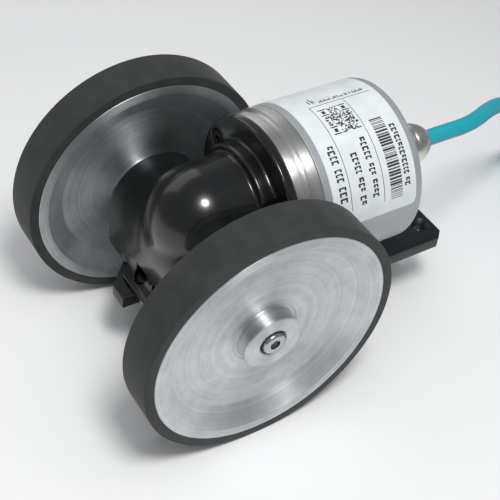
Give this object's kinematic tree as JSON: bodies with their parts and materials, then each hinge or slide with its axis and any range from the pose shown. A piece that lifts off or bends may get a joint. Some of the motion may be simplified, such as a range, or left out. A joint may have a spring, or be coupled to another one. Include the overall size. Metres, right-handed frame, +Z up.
{
  "type": "rotary encoder",
  "caption": "Length-measuring rotary encoder: rubber-tyred measuring wheels on a cross shaft, gear housing on a base plate, round encoder body and a trailing signal cable.",
  "frame": {"origin": "on the underside of the base plate, directly below the middle of the wheel shaft", "axes": "+X along the wheel shaft, +Y along the encoder shaft from the gear housing to the cable gland, +Z up from the base plate to the encoder"},
  "size_m": [0.0862, 0.2618, 0.0796],
  "materials": {
    "cast_black": "gloss black coated casting",
    "plate_black": "satin black coated plate",
    "aluminium": "turned, fine concentric lay",
    "rubber": "ground matt rubber",
    "silver_paint": "silver-grey satin paint",
    "steel": "ground steel",
    "black_steel": "black oxide",
    "zinc_steel": "bright zinc plate",
    "brass": "machined",
    "nickel": "nickel plated, satin",
    "seal_rubber": "matt black",
    "board_green": "solder mask",
    "chip_black": "moulded epoxy",
    "disc_glass": "clear with a printed track",
    "cable_teal": "extruded polyurethane jacket",
    "core_insulation": "extruded core insulation"
  },
  "bodies": {
    "body": {"base_plate": "plate_black", "base_screw_near": "black_steel", "base_screw_far": "black_steel", "gear_housing": "cast_black", "flange_screw_1": "black_steel", "flange_screw_2": "black_steel", "flange_screw_3": "black_steel", "shaft_bearing_outer_near": "steel", "shaft_bearing_outer_far": "steel", "retaining_ring_near": "black_steel", "retaining_ring_far": "black_steel", "encoder_flange": "aluminium", "encoder_bearing_outer_front": "steel", "encoder_bearing_outer_rear": "steel", "light_source": "chip_black", "sensor_board": "board_green", "sensor_chip": "chip_black", "wire_terminal": "chip_black", "board_pillar_1": "brass", "board_pillar_2": "brass", "board_pillar_3": "brass", "encoder_cap": "silver_paint", "cap_seal": "seal_rubber", "gland_body": "nickel", "gland_nut": "nickel", "gland_seal": "seal_rubber", "cable": "cable_teal", "cable_coil": "cable_teal", "cable_sleeve": "seal_rubber", "core_1": "core_insulation", "core_2": "core_insulation", "core_3": "core_insulation", "core_4": "core_insulation", "core_5": "core_insulation"},
    "wheels": {"wheel_shaft": "steel", "wheel_hub_near": "aluminium", "wheel_hub_far": "aluminium", "wheel_tyre_near": "rubber", "wheel_tyre_far": "rubber", "wheel_screw_near": "zinc_steel", "wheel_screw_far": "zinc_steel", "shaft_bearing_inner_near": "steel", "shaft_bearing_inner_far": "steel", "wheel_spacer_near": "aluminium", "wheel_spacer_far": "aluminium", "drive_gear": "steel", "drive_gear_grub": "black_steel"},
    "rotor": {"encoder_shaft": "steel", "encoder_pinion": "brass", "encoder_pinion_grub": "black_steel", "encoder_bearing_inner_front": "steel", "encoder_bearing_inner_rear": "steel", "bearing_spacer": "steel", "disc_hub": "brass", "code_disc": "disc_glass"}
  },
  "joints": [
    {"name": "wheel_spin", "type": "hinge", "parent": "body", "child": "wheels", "pos_m": [0, 0, 0.0184], "axis": [1, 0, 0], "continuous": true},
    {"name": "encoder_spin", "type": "hinge", "parent": "body", "child": "rotor", "pos_m": [0, 0, 0.031], "axis": [0, 1, 0], "continuous": true}
  ],
  "couplings": [
    {"joint": "encoder_spin", "follows": "wheel_spin", "ratio": 1}
  ]
}
